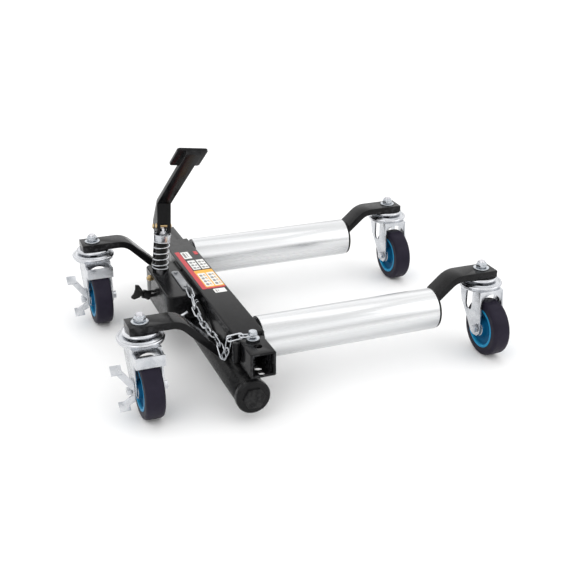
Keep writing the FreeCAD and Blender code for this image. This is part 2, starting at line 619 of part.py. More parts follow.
def make_pedal():
    """The channel lever on its two pins, and the pad at its end; all in the column's frame."""
    tip_back = "(bend_back - lever_length*sin(lever_lean))"
    tip_up = "(bend_up + lever_length*cos(lever_lean))"
    off_back, off_up = "lever_depth*cos(lever_lean)", "lever_depth*sin(lever_lean)"
    profile = [("-10.4", "lever_foot"), ("bend_back", "bend_up"), (tip_back, tip_up),
               (tip_back + " + " + off_back, tip_up + " + " + off_up),
               ("bend_back + " + off_back, "bend_up + " + off_up), ("23", "88"), ("23", "lever_foot")]
    lever = extruded("YZ_Plane", profile, "lever_width")
    hollow = extruded("YZ_Plane", [("-13", "60"), ("-7", "lever_foot"), ("3.6", "117.5"),
                                   ("40", "117.5"), ("40", "60")], "lever_width - 2*lever_sheet")
    slot = block(("-6.6", "-20", "60"), ("6.6", "0", "86"))
    spots = (("fulcrum_back", "fulcrum_height"), ("front_pin_back", "front_pin_height"))
    pins = [rod("pedal_pin_radius", "40", ("-20", back, up), "x") for back, up in spots]
    piece("pedal_lever", cut(lever, hollow, slot, *pins), column(0, 0, 0))

    shafts = []
    for back, up in spots:
        left = "-lever_width/2 - 2"
        shafts.append(joined(rod("pedal_pin_radius", "lever_width + 4", (left, back, up), "x"),
                             rod("pedal_pin_radius + 1.6", "1.8", (left, back, up), "x"),
                             rod("pedal_pin_radius + 1.6", "1.8",
                                 ("lever_width/2 + 0.2", back, up), "x")))
    piece("pedal_pins", group(*shafts), column(0, 0, 0))

    pad = block(("-pad_width/2", "0.02", "-pad_length"), ("pad_width/2", "5", "0"))
    pad = rounded(pad, number("pad_rounding"), runs_along("y"))
    tip = at("0", tip_back + " + " + off_back, tip_up + " + " + off_up,
             Rotation(Vector(1, 0, 0), number("lever_lean")))
    piece("pedal_pad", pad, column(0, 0, 0).multiply(tip))


# ---------------------------------------------------------------- lock pin, chain, hose and tag

def make_lock_pin():
    """The pin's tapered shank, its flange and neck, and the head it is pulled by."""
    low, top = "tube_z - inner_size/2", "tube_z + inner_size/2"
    shank = joined(rod("pin_radius", "inner_size + 3", ("tube_x", "pin_y", low + " - 1.5")),
                   cone("pin_radius - 2.15", "pin_radius", "2", ("tube_x", "pin_y", low + " - 3.5")),
                   rod("8.7", "1.4", ("tube_x", "pin_y", top + " + 0.4")),
                   rod("11", "2.6", ("tube_x", "pin_y", top + " + 1.8")),
                   rod("3", "6", ("tube_x", "pin_y", top + " + 4")),
                   cone("7.5", "6.2", "7", ("tube_x", "pin_y", top + " + 9")))
    piece("lock_pin", shank)


CHAIN_ROUTE = [
    (-185, -33, 121.6), (-185.5, -49, 121), (-186.5, -62, 107), (-187, -82, 99),
    (-187, -106, 96), (-187, -130, 95), (-187, -152, 97), (-186.5, -176, 99.5), (-186, -197, 100),
    (-185, -212, 93), (-184, -221, 79), (-181, -229, 90), (-180, -234, 110), (-178.5, -237, 125.4),
    (-166, -243.5, 125.4), (-141, -249, 124.4)]


def link_shape(start, end, roll):
    """One oval chain link between two points of the chain's line."""
    wire = number("chain_wire")
    half_long = number("chain_length") / 2 - wire
    half_wide = number("chain_width") / 2 - wire
    straight = half_long - half_wide
    a, b = Vector(-straight, half_wide, 0), Vector(straight, half_wide, 0)
    c, d = Vector(straight, -half_wide, 0), Vector(-straight, -half_wide, 0)
    path = Part.Wire([
        Part.LineSegment(a, b).toShape(),
        Part.Arc(b, Vector(half_long, 0, 0), c).toShape(),
        Part.LineSegment(c, d).toShape(),
        Part.Arc(d, Vector(-half_long, 0, 0), a).toShape()])
    ring = Part.Wire([Part.Circle(Vector(0, half_wide, 0), Vector(1, 0, 0), wire).toShape()])
    sweep = path.makePipeShell([ring], True, False)
    along = (end - start).normalize()
    level = Vector(0, 0, 1).cross(along).normalize()
    turn = Rotation(along, level, along.cross(level), "XYZ")
    turn = turn.multiply(Rotation(Vector(1, 0, 0), roll))
    sweep.Placement = FreeCAD.Placement((start + end) * 0.5, turn)
    return sweep


def make_chain():
    """The chain's links, end to end along its line, every other one on edge."""
    line = Part.makePolygon([Vector(*point) for point in CHAIN_ROUTE])
    inside = number("chain_length - 4*chain_wire")
    count = round(line.Length / (0.92 * inside))
    marks = line.discretize(Number=count + 1)
    links = [link_shape(start, end, 90 if n % 2 else 0)
             for n, (start, end) in enumerate(zip(marks, marks[1:]))]
    chain = doc.addObject("Part::Feature", "Chain")
    chain.Shape = Part.makeCompound(links)
    piece("lock_chain", chain)


HOSE_ROUTE = [(-175.5, -45, 101), (-175.5, -66, 101), (-175.5, -86, 92), (-176.5, -104, 76),
              (-177, -121, 71), (-177, -136, 71)]


def make_hose():
    """The hose: straight runs joined by arcs, and the port block it ends in."""
    route = [Vector(*p) for p in HOSE_ROUTE]
    edges = []
    here = route[0]
    for before, corner, after in zip(route, route[1:], route[2:]):
        arriving, leaving = corner - before, after - corner
        turn = arriving.getAngle(leaving)
        reach = 0.45 * min(arriving.Length, leaving.Length)
        radius = reach / math.tan(turn / 2)
        start = corner - arriving.normalize() * reach
        end = corner + leaving.normalize() * reach
        bisector = ((start + end) * 0.5 - corner).normalize()
        middle = corner + bisector * (radius / math.cos(turn / 2) - radius)
        edges.append(Part.LineSegment(here, start).toShape())
        edges.append(Part.Arc(start, middle, end).toShape())
        here = end
    edges.append(Part.LineSegment(here, route[-1]).toShape())
    path = Part.Wire(edges)
    ring = Part.Wire([Part.Circle(route[0], route[1] - route[0], number("hose_radius")).toShape()])
    hose = doc.addObject("Part::Feature", "Hose")
    hose.Shape = path.makePipeShell([ring], True, False)
    piece("pump_hose", hose)
    port = joined(block(("-183", "-152", "60"), ("-170.5", "-136", "76")),
                  prism(6, "5.4", "6", ("-177", "-136", "71"), "y"))
    barrel = rod("cylinder_radius + 0.02", "40", ("cylinder_x", "-160", "cylinder_z"), "y")
    bore = rod("hose_radius + 0.01", "8", ("-177", "-136", "71"), "y")
    port = cut(port, barrel, bore)
    piece("hose_port", port)


def make_tag():
    """The strip the chain hangs from, with its two screws, and the stub under it."""
    plate = block(("-192", "-24", "housing_top_z"), ("-178", "62", "housing_top_z + 2.5"))
    plate = rounded(plate, 6.5, runs_along("z"))
    screws = [rod("3.4", "2.2", ("-185", y, "housing_top_z + 2.5")) for y in ("-12", "52")]
    lug = cut(block(("-186.6", "-38", "housing_top_z"), ("-183.4", "-24", "housing_top_z + 12")),
              rod("3.2", "10", ("-190", "-31.4", "housing_top_z + 6.6"), "x"))
    piece("chain_anchor", group(joined(plate, lug), *screws))
    stub = posed(at("-211", "housing_near_y - 4.1", "77", Rotation(Vector(0, 1, 0), 66)),
                 rod("4", "20", ("0", "0", "0")))
    piece("relief_stub", stub)


make_tubes()
make_cylinder()
make_arms()
piece("roller_plate_near", make_roller("near", -1))
make_yoke(make_roller("far", 1))
make_casters()
make_housing()
make_release()
make_column()
make_pedal()
make_lock_pin()
make_chain()
make_hose()
make_tag()
doc.recompute()

faults = [thing.Label for thing in doc.Objects if "Invalid" in thing.State or "Error" in thing.State]
for thing in PIECES:
    if thing.Shape.isNull() or not thing.Shape.isValid():
        faults.append(thing.Label + " shape")
if faults:
    raise SystemExit("faulty: %s" % sorted(set(faults)))

# The origin goes to the middle of the underside of the whole dolly.
extent = FreeCAD.BoundBox()
for thing in PIECES:
    extent.add(thing.Shape.optimalBoundingBox(False, False))
shift = Vector(-extent.Center.x, -extent.Center.y, -extent.ZMin)
for thing in PIECES:
    moved = thing.Placement
    moved.Base = moved.Base + shift
    thing.Placement = moved
print("origin shift %.4f %.4f %.4f" % tuple(shift))

os.makedirs("parts", exist_ok=True)
for thing in PIECES:
    thing.Shape.exportStep(os.path.join("parts", thing.Label + ".step"))
print(len(PIECES), "pieces")
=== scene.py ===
"""Wheel dolly: the visual model on its CAD frame, with its materials, studio and camera."""

import json
import math

import bmesh
import bpy
from mathutils import Matrix, Vector


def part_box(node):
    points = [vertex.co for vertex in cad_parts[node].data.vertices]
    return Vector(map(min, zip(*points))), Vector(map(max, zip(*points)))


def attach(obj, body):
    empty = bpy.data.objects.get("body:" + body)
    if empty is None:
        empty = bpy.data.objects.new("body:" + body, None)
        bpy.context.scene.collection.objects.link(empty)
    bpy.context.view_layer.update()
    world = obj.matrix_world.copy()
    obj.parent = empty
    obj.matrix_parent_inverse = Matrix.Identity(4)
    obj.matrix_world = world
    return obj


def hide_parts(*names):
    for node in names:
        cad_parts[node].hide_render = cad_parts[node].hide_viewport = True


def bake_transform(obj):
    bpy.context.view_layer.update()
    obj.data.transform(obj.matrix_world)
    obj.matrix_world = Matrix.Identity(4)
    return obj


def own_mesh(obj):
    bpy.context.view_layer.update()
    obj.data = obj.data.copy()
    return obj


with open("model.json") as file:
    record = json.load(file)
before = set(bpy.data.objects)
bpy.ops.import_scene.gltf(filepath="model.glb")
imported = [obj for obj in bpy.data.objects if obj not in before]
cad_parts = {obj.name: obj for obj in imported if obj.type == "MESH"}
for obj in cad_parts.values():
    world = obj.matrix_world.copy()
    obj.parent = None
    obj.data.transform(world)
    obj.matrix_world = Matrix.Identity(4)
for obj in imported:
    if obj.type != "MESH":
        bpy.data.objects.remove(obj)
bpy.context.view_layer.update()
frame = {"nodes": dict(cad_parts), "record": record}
RECORD = frame["record"]
JOINTS = {joint["name"]: joint for joint in RECORD["behaviour"]["joints"]}
BODY_OF = {node: body for body, nodes in RECORD["behaviour"]["bodies"].items() for node in nodes}
SLOT_OF = {part["node"]: part["material_slot"] for part in RECORD["subparts"]}
MM = 0.001
WHEELS = ("near_left", "near_right", "far_left", "far_right")
BRAKED = ("near_left", "far_left")


# ---------------------------------------------------------------- camera

camera_data = bpy.data.cameras.new("Camera")
camera = bpy.data.objects.new("Camera", camera_data)
bpy.context.scene.collection.objects.link(camera)
bpy.context.scene.camera = camera
SENSOR_WIDTH, FOCAL_LENGTH, FAR_CLIP = 36, 62.06, 60
CAMERA_SPOT = (-0.59875, -1.5613, 0.82605)
CAMERA_YAW, CAMERA_PITCH, CAMERA_ROLL = -0.3803, 0.4187, 0.0086
camera_data.sensor_width = SENSOR_WIDTH
camera_data.lens = FOCAL_LENGTH
camera_data.clip_end = FAR_CLIP
camera.matrix_world = (
    Matrix.Translation(CAMERA_SPOT)
    @ Matrix.Rotation(CAMERA_YAW, 4, "Z")
    @ Matrix.Rotation(math.pi / 2 - CAMERA_PITCH, 4, "X")
    @ Matrix.Rotation(CAMERA_ROLL, 4, "Z"))


# ---------------------------------------------------------------- materials

def texture(nodes, links, kind, coords, scale, stretch=(1, 1, 1), **settings):
    """A procedural texture on object coordinates, stretched along the axes."""
    mapping = nodes.new("ShaderNodeMapping")
    mapping.inputs["Scale"].default_value = stretch
    links.new(coords.outputs["Object"], mapping.inputs["Vector"])
    node = nodes.new(kind)
    node.inputs["Scale"].default_value = scale
    for name, value in settings.items():
        node.inputs[name.replace("_", " ")].default_value = value
    links.new(mapping.outputs["Vector"], node.inputs["Vector"])
    return node.outputs[0]


def ramp(nodes, links, source, low, high, start=0.35, end=0.65):
    """A colour ramp between two colours or two greys."""
    node = nodes.new("ShaderNodeValToRGB")
    for element, place, value in zip(node.color_ramp.elements, (start, end), (low, high)):
        element.position = place
        element.color = (*value, 1) if isinstance(value, tuple) else (value, value, value, 1)
    links.new(source, node.inputs["Fac"])
    return node.outputs["Color"]


def material(name, light, dark, rough, metallic=0.0, scale=60, stretch=(1, 1, 1),
             bump_scale=900, bump=0.02, bump_stretch=(1, 1, 1), detail=6.0, wear=None, gloss=0.5):
    """A surface whose colour, roughness and relief vary; wear lightens its exposed edges."""
    made = bpy.data.materials.new(name)
    made.use_nodes = True
    nodes, links = made.node_tree.nodes, made.node_tree.links
    shader = nodes["Principled BSDF"]
    shader.inputs["Metallic"].default_value = metallic
    shader.inputs["Specular IOR Level"].default_value = gloss
    coords = nodes.new("ShaderNodeTexCoord")
    cloud = texture(nodes, links, "ShaderNodeTexNoise", coords, scale, stretch,
                    Detail=detail, Roughness=0.6)
    colour = ramp(nodes, links, cloud, dark, light, 0.3, 0.7)
    if wear:
        edges = nodes.new("ShaderNodeNewGeometry")
        exposed = ramp(nodes, links, edges.outputs["Pointiness"], 0.0, 1.0, 0.52, 0.60)
        patchy = ramp(nodes, links, texture(nodes, links, "ShaderNodeTexNoise", coords, 140,
                                            Detail=4.0), 0.0, 1.0, 0.45, 0.62)
        both = nodes.new("ShaderNodeMath")
        both.operation = "MULTIPLY"
        links.new(exposed, both.inputs[0])
        links.new(patchy, both.inputs[1])
        mix = nodes.new("ShaderNodeMix")
        mix.data_type = "RGBA"
        links.new(both.outputs[0], mix.inputs["Factor"])
        links.new(colour, mix.inputs["A"])
        mix.inputs["B"].default_value = (*wear, 1)
        colour = mix.outputs["Result"]
    links.new(colour, shader.inputs["Base Color"])
    patches = texture(nodes, links, "ShaderNodeTexNoise", coords, scale * 1.7, stretch, Detail=8.0)
    links.new(ramp(nodes, links, patches, rough[0], rough[1]), shader.inputs["Roughness"])
    grain = texture(nodes, links, "ShaderNodeTexNoise", coords, bump_scale, bump_stretch,
                    Detail=3.0)
    relief = nodes.new("ShaderNodeBump")
    relief.inputs["Strength"].default_value = bump
    relief.inputs["Distance"].default_value = 0.001
    links.new(grain, relief.inputs["Height"])
    links.new(relief.outputs["Normal"], shader.inputs["Normal"])
    return made


M = {
    "paint": material("gloss_black_paint", (0.0075, 0.0075, 0.008), (0.004, 0.004, 0.0045),
                      (0.16, 0.26), bump_scale=260, bump=0.02, wear=(0.03, 0.03, 0.032),
                      gloss=0.16),
    "satin": material("satin_black_paint", (0.0075, 0.0075, 0.008), (0.004, 0.004, 0.0045),
                      (0.22, 0.34), bump_scale=260, bump=0.03, wear=(0.03, 0.03, 0.03), gloss=0.16),
    "zinc": material("bright_zinc_plate", (0.66, 0.67, 0.69), (0.46, 0.48, 0.51), (0.20, 0.34),
                     metallic=1.0, scale=45, bump_scale=500, bump=0.03),
    "dull": material("dull_zinc_plate", (0.38, 0.39, 0.40), (0.22, 0.23, 0.25), (0.28, 0.42),
                     metallic=1.0, scale=60, bump_scale=500, bump=0.04),
    "chrome": material("polished_race", (0.68, 0.69, 0.71), (0.52, 0.53, 0.56), (0.10, 0.20),
                       metallic=1.0, scale=30, bump_scale=300, bump=0.02),
    "nut": material("zinc_nut", (0.60, 0.62, 0.65), (0.42, 0.45, 0.48), (0.18, 0.34),
                    metallic=1.0, scale=120, bump_scale=900, bump=0.04),
    "steel": material("ground_steel", (0.66, 0.66, 0.68), (0.46, 0.46, 0.49), (0.12, 0.24),
                      metallic=1.0, scale=90, bump_scale=1200, bump=0.03),
    "aluminium": material("extruded_aluminium", (0.77, 0.775, 0.78), (0.62, 0.63, 0.64),
                          (0.22, 0.34), metallic=1.0, scale=70, stretch=(0.012, 1, 1),
                          bump_scale=520, bump=0.10, bump_stretch=(0.01, 1, 1), detail=3.0),
    "tread": material("dark_polyurethane_tread", (0.020, 0.017, 0.029), (0.013, 0.011, 0.020),
                      (0.38, 0.52), scale=38, bump_scale=700, bump=0.03, gloss=0.1),
    "blue": material("moulded_blue_core", (0.002, 0.090, 0.200), (0.0015, 0.065, 0.155),
                     (0.34, 0.48), scale=60, bump_scale=600, bump=0.03, gloss=0.06),
    "rim": material("light_blue_rim", (0.010, 0.27, 0.50), (0.006, 0.20, 0.39),
                    (0.30, 0.42), scale=60, bump_scale=600, bump=0.03, gloss=0.12),
    "brass": material("brass", (0.62, 0.46, 0.24), (0.44, 0.32, 0.16), (0.22, 0.36),
                      metallic=1.0, scale=140, bump_scale=900, bump=0.03),
    "plastic": material("moulded_black_plastic", (0.012, 0.012, 0.012), (0.006, 0.006, 0.006),
                        (0.36, 0.50), scale=90, bump_scale=1500, bump=0.06, gloss=0.25),
    "rubber": material("black_rubber", (0.012, 0.012, 0.012), (0.006, 0.006, 0.006),
                       (0.48, 0.66), scale=70, bump_scale=1300, bump=0.08, gloss=0.25),
    "white": material("label_white", (0.86, 0.86, 0.84), (0.78, 0.78, 0.76), (0.30, 0.40),
                      scale=300, bump_scale=900, bump=0.01),
    "red": material("label_red", (0.60, 0.028, 0.040), (0.52, 0.020, 0.030), (0.28, 0.38),
                    scale=300, bump_scale=900, bump=0.01, gloss=0.3),
    "yellow": material("label_yellow", (0.90, 0.46, 0.030), (0.84, 0.40, 0.020), (0.28, 0.38),
                       scale=300, bump_scale=900, bump=0.01, gloss=0.3),
    "ink": material("label_grey", (0.30, 0.29, 0.28), (0.16, 0.15, 0.15), (0.34, 0.42),
                    scale=500, bump_scale=900, bump=0.01),
    "floor": material("pale_floor", (0.97, 0.97, 0.97), (0.95, 0.95, 0.95), (0.55, 0.62),
                      scale=3, bump_scale=60, bump=0.0, gloss=0.1),
}
SLOT_MATERIAL = {
    "frame_paint": "paint", "cylinder_paint": "satin", "zinc": "zinc",
    "roller_aluminium": "aluminium", "steel": "steel", "wheel_blue": "blue", "tread": "tread",
    "brass": "brass", "black_plastic": "plastic", "rubber_black": "rubber"}


# ---------------------------------------------------------------- making pieces

REPLACED = set()


def add(name, mesh, materials, body, nodes=(), place=None):
    """A finished mesh becomes a piece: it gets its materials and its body."""
    piece = bpy.data.objects.new(name, mesh)
    bpy.context.scene.collection.objects.link(piece)
    for key in materials if isinstance(materials, (list, tuple)) else [materials]:
        mesh.materials.append(M[key])
    if place:
        mesh.transform(place)
    if body:
        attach(piece, body)
    if nodes:
        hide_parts(*nodes)
        REPLACED.update(nodes)
    return piece


def finished(bm, name, sharp=35):
    """A mesh with smooth faces and crisp edges where two faces meet sharply."""
    bmesh.ops.recalc_face_normals(bm, faces=bm.faces)
    for face in bm.faces:
        face.smooth = True
    for edge in bm.edges:
        if len(edge.link_faces) == 2 and edge.calc_face_angle(0) > math.radians(sharp):
            edge.smooth = False
    mesh = bpy.data.meshes.new(name)
    bm.to_mesh(mesh)
    bm.free()
    return mesh


def eased(points, radius, closed=True, steps=4):
    """A polyline with its corners rounded off."""
    count = len(points)
    result = []
    for n, corner in enumerate(points):
        corner = Vector(corner)
        if not closed and n in (0, count - 1):
            result.append(tuple(corner))
            continue
        before, after = Vector(points[n - 1]) - corner, Vector(points[(n + 1) % count]) - corner
        reach = min(radius, before.length * 0.49, after.length * 0.49)
        start, end = corner + before.normalized() * reach, corner + after.normalized() * reach
        for step in range(steps + 1):
            t = step / steps
            result.append(tuple(start * (1 - t) ** 2 + corner * 2 * t * (1 - t) + end * t ** 2))
    return result


def lathe(name, profile, steps=72, closed=False, sharp=35):
    """A surface of revolution about local Z from (radius, height) points in millimetres."""
    bm = bmesh.new()
    rings = []
    for step in range(steps):
        angle = 2 * math.pi * step / steps
        rings.append([bm.verts.new((r * MM * math.cos(angle), r * MM * math.sin(angle), h * MM))
                      for r, h in profile])
    count = len(profile)
    for a, b in zip(rings, rings[1:] + rings[:1]):
        for n in range(count if closed else count - 1):
            bm.faces.new((a[n], b[n], b[(n + 1) % count], a[(n + 1) % count]))
    bmesh.ops.remove_doubles(bm, verts=bm.verts, dist=1e-7)
    bmesh.ops.dissolve_degenerate(bm, edges=bm.edges, dist=1e-8)
    return finished(bm, name, sharp)


def hexagon(name, radius, low, high, chamfer, bore=0.0, steps=72):
    """A hexagon bar of nut stock with its corners turned off at both ends."""
    bm = bmesh.new()
    levels = [(low, chamfer), (low + chamfer * 0.5, chamfer * 0.35), (low + chamfer, 0),
              (high - chamfer, 0), (high - chamfer * 0.5, chamfer * 0.35), (high, chamfer)]
    rings = []
    for height, shaved in levels:
        ring = []
        for step in range(steps):
            angle = 2 * math.pi * step / steps
            flat = radius * math.cos(math.pi / 6) / math.cos((angle + math.pi / 6) % (math.pi / 3)
                                                             - math.pi / 6)
            r = min(flat, radius - shaved * 1.3) * MM
            ring.append(bm.verts.new((r * math.cos(angle), r * math.sin(angle), height * MM)))
        rings.append(ring)
    for ring, height in ((rings[0], low), (rings[-1], high)):
        if bore:
            inner = [bm.verts.new((bore * MM * v.co.x / v.co.xy.length,
                                   bore * MM * v.co.y / v.co.xy.length, height * MM)) for v in ring]
            rings = [inner] + rings if height == low else rings + [inner]
        else:
            bm.faces.new(ring)
    for a, b in zip(rings, rings[1:]):
        for n in range(steps):
            bm.faces.new((a[n], a[(n + 1) % steps], b[(n + 1) % steps], b[n]))
    if bore:
        for n in range(steps):
            a, b = rings[-1], rings[0]
            bm.faces.new((a[n], a[(n + 1) % steps], b[(n + 1) % steps], b[n]))
    return finished(bm, name, 24)


def tube(name, points, radius, closed=False, sides=12, ripple=0.0, waves=0):
    """A round wire along points in metres, with an optional ripple of its radius."""
    points = [Vector(p) for p in points]
    count = len(points)
    bm = bmesh.new()
    normal = None
    rings = []
    for n, point in enumerate(points):
        ahead = points[(n + 1) % count] if closed or n < count - 1 else point
        behind = points[n - 1] if closed or n > 0 else point
        tangent = (ahead - behind).normalized()
        if normal is None:
            normal = tangent.orthogonal().normalized()
        normal = (normal - tangent * normal.dot(tangent)).normalized()
        other = tangent.cross(normal)
        r = radius * (1 + ripple * abs(math.sin(math.pi * waves * n / max(count - 1, 1))))
        rings.append([bm.verts.new(point + (normal * math.cos(a) + other * math.sin(a)) * r)
                      for a in (2 * math.pi * s / sides for s in range(sides))])
    pairs = list(zip(rings, rings[1:]))
    for a, b in pairs:
        for s in range(sides):
            bm.faces.new((a[s], a[(s + 1) % sides], b[(s + 1) % sides], b[s]))
    if closed:
        first, last = rings[0], rings[-1]
        turn = min(range(sides), key=lambda k: (last[0].co - first[k].co).length)
        for s in range(sides):
            bm.faces.new((last[s], last[(s + 1) % sides],
                          first[(s + 1 + turn) % sides], first[(s + turn) % sides]))
    else:
        bm.faces.new(rings[0])
        bm.faces.new(rings[-1])
    return finished(bm, name, 60)


def softened(node, width=0.6, segments=2, sharp=28):
    """The node's own shape with its flat faces made whole and its edges rounded over."""
    bm = bmesh.new()
    bm.from_mesh(frame["nodes"][node].data)
    bmesh.ops.remove_doubles(bm, verts=bm.verts, dist=2e-6)
    bmesh.ops.dissolve_limit(bm, angle_limit=math.radians(0.4), verts=bm.verts, edges=bm.edges)
    edges = [e for e in bm.edges if len(e.link_faces) == 2
             and e.calc_face_angle(0) > math.radians(sharp)]
    bmesh.ops.bevel(bm, geom=edges, offset=width * MM, segments=segments, profile=0.5,
                    affect="EDGES", clamp_overlap=True)
    return finished(bm, node + "_soft", 40)


def soft_piece(node, key=None, width=0.6, segments=2):
    """A softened copy of a node stands in for the node, on the node's own body and slot."""
    key = key or SLOT_MATERIAL[SLOT_OF[node]]
    return add(node + "_soft", softened(node, width, segments), key, BODY_OF[node],
               [node])


def facing(x_axis, z_axis, origin):
    """A placement with local X and Z along two given directions."""
    z_axis = Vector(z_axis).normalized()
    x_axis = Vector(x_axis)
    x_axis = (x_axis - z_axis * x_axis.dot(z_axis)).normalized()
    y_axis = z_axis.cross(x_axis)
    turn = Matrix((x_axis, y_axis, z_axis)).transposed().to_4x4()
    return Matrix.Translation(origin) @ turn


def thread(radius, low, high, pitch=1.5, depth=0.55):
    """(radius, height) points of a threaded rod's outline, from low to high."""
    points = [(0, low), (radius - depth, low)]
    turns = int((high - low) / pitch)
    for n in range(turns):
        start = low + n * pitch
        points += [(radius - depth, start + 0.1 * pitch), (radius, start + 0.5 * pitch)]
    return points + [(radius - depth, high), (0, high)]


# ---------------------------------------------------------------- casters

TO_X = Matrix.Rotation(math.pi / 2, 4, "Y")
# caster sizes, in millimetres
HALF_TREAD = 16.0
CORE_RADIUS = 36
TREAD_EASE = 9.5
LIP_RADIUS, LIP_WIRE, LIP_LIFT, LIP_SIDES = 36.2, 2.6, 0.2, 16
STUD_RADIUS, STUD_CLEAR, STUD_RISE = 6.0, 6.2, 14.6
NUT_RADIUS, NUT_LOW, NUT_HIGH, NUT_TURN = 10.2, 2.4, 9.2, 0.35
ARM_THICKNESS, RACE_HEIGHT = 12, 6.5


def caster(name):
    """The wheel, fork, swivel lip and, where it has one, the brake of one caster."""
    stud = Vector(JOINTS["swivel_" + name]["pos_m"])
    axle = Vector(JOINTS["wheel_spin_" + name]["pos_m"])
    on_axle = Matrix.Translation(axle) @ TO_X
    wheel, swivel = "wheel_" + name, "swivel_" + name
    half, radius = HALF_TREAD, axle.z / MM

    tread = eased([(CORE_RADIUS, -half), (radius, -half), (radius, half), (CORE_RADIUS, half)],
                  TREAD_EASE, closed=False, steps=12)
    add("tyre_" + name, lathe("tyre_" + name, tread, 120, closed=True, sharp=50), "tread", wheel,
        ["caster_tyre_" + name], on_axle)

    rim = eased([(30.4, -half + 3.4), (31.2, -half), (35.98, -half), (35.98, half),
                 (31.2, half), (30.4, half - 3.4)], 0.8, steps=3)
    dish = eased([(11, -19), (15.4, -19), (16.4, -half + 4.6), (20, -half + 6.8),
                  (28.5, -half + 5.4), (30.9, -half + 3.2), (30.9, half - 3.2), (28.5, half - 5.4),
                  (20, half - 6.8), (16.4, half - 4.6), (15.4, 19), (11, 19)], 0.9, steps=3)
    add("rim_" + name, lathe("rim_" + name, rim, 96, closed=True), "rim", wheel,
        place=on_axle)
    add("dish_" + name, lathe("dish_" + name, dish, 96, closed=True), "blue", wheel,
        ["caster_core_" + name], on_axle)
    cap = eased([(4.05, -20), (6.5, -20), (7.2, -19.4), (13.2, -19.7), (13.9, -19.0), (11.2, -18.6),
                 (11, -17), (11, 17), (11.2, 18.6), (13.9, 19.0), (13.2, 19.7), (7.2, 19.4),
                 (6.5, 20), (4.05, 20)], 0.4, steps=2)
    add("hub_cap_" + name, lathe("hub_cap_" + name, cap, 72, closed=True), "zinc", wheel,
        ["caster_bearing_" + name], on_axle)

    soft_piece("caster_fork_" + name, "zinc", 0.7, 3)
    if name in BRAKED:
        soft_piece("caster_brake_" + name, "zinc", 0.6, 3)

    # the rolled lip of the swivel head, a bright ring round the fork's crown
    lip = [(LIP_RADIUS + LIP_WIRE * math.cos(a), LIP_LIFT + LIP_WIRE * math.sin(a))
           for a in (2 * math.pi * n / LIP_SIDES for n in range(LIP_SIDES))]
    add("swivel_lip_" + name, lathe("swivel_lip_" + name, lip, 96, closed=True), "chrome", swivel,
        place=Matrix.Translation(stud))


for wheel_name in WHEELS:
    caster(wheel_name)

for row in ("near", "far"):
    for flank in ("left", "right"):
        corner = row + "_" + flank
        spot = Vector(JOINTS["swivel_" + corner]["pos_m"])
        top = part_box("caster_nuts_" + row)[0].z
        place = Matrix.Translation((spot.x, spot.y, top))
        body = row + "_frame"
        # the studs of one row share a node, and so do its nuts: the left pieces stand for them
        nut_nodes = ["caster_nuts_" + row] if flank == "left" else []
        stud_nodes = ["caster_studs_" + row] if flank == "left" else []
        washer = eased([(STUD_CLEAR, 0), (14, 0), (14, 2.0), (12.6, NUT_LOW),
                        (STUD_CLEAR, NUT_LOW)], 0.5, steps=2)
        add("washer_" + corner, lathe("washer_" + corner, washer, closed=True), "nut", body,
            nut_nodes, place)
        hex_nut = hexagon("nut_" + corner, NUT_RADIUS, NUT_LOW, NUT_HIGH, 1.6, 6.1)
        add("nut_" + corner, hex_nut, "nut", body,
            place=place @ Matrix.Rotation(NUT_TURN, 4, "Z"))
        collar = eased([(STUD_CLEAR, 9.0), (8.9, 9.0), (8.4, 11.0), (6.9, 11.9),
                        (STUD_CLEAR, 11.9)], 0.8, steps=3)
        add("nut_collar_" + corner, lathe("nut_collar_" + corner, collar, closed=True), "nut", body,
            place=place)
        down = (spot.z - top) / MM
        stem = thread(STUD_RADIUS, down - 10, STUD_RISE)
        add("stud_" + corner, lathe("stud_" + corner, stem, 48), "steel", body,
            stud_nodes, place)
        race_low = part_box("arm_" + corner)[1].z / MM - ARM_THICKNESS - RACE_HEIGHT - top / MM
        race = eased([(STUD_CLEAR, race_low), (25, race_low), (29.6, race_low + 1.6),
                      (30, race_low + 4.4), (27, race_low + 6.4), (STUD_CLEAR, race_low + 6.4)],
                     1.6, steps=4)
        add("race_" + corner, lathe("race_" + corner, race, 96, closed=True), "chrome", body,
            place=place)


# ---------------------------------------------------------------- rollers

ROLLER_WALL = 4.0

for row in ("near", "far"):
    low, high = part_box("roller_" + row)
    radius = (high.z - low.z) / 2 / MM
    length = (high.x - low.x) / MM
    wall = radius - ROLLER_WALL
    shell = [(wall, 0.5), (wall + 0.6, 0), (radius - 0.9, 0), (radius - 0.25, 0.25), (radius, 0.9),
             (radius, length - 0.9), (radius - 0.25, length - 0.25), (radius - 0.9, length),
             (wall + 0.6, length), (wall, length - 0.5)]
    spot = Vector((low.x, (low.y + high.y) / 2, (low.z + high.z) / 2))
    add("roller_shell_" + row, lathe("roller_shell_" + row, shell, 128, closed=True), "aluminium",
        row + "_roller", ["roller_" + row], Matrix.Translation(spot) @ TO_X)


# ---------------------------------------------------------------- pump column and pedal

FULCRUM = (16.5, 77.0)  # the pedal's two pins: back from the column's axis, and up it
FRONT_PIN = (-3.2, 83.0)
BOOT_RIBS, RIB_PITCH = 11, 4.1
SPRING_RADIUS, SPRING_WIRE = 13.8, 1.25
SPRING_LOW, SPRING_RISE, SPRING_CREEP = 3.4, 48.6, 1.2
SPRING_TURNS, TURN_STEPS, SPRING_START = 6.0, 36, 2.2

pivot = JOINTS["pedal_pivot"]
ACROSS = Vector(pivot["axis"]).normalized()
UP = -Vector(JOINTS["plunger_stroke"]["axis"]).normalized()
BACK = UP.cross(ACROSS)
FOOT = Vector(pivot["pos_m"]) - BACK * FULCRUM[0] * MM - UP * FULCRUM[1] * MM
COLUMN = facing(ACROSS, UP, FOOT)

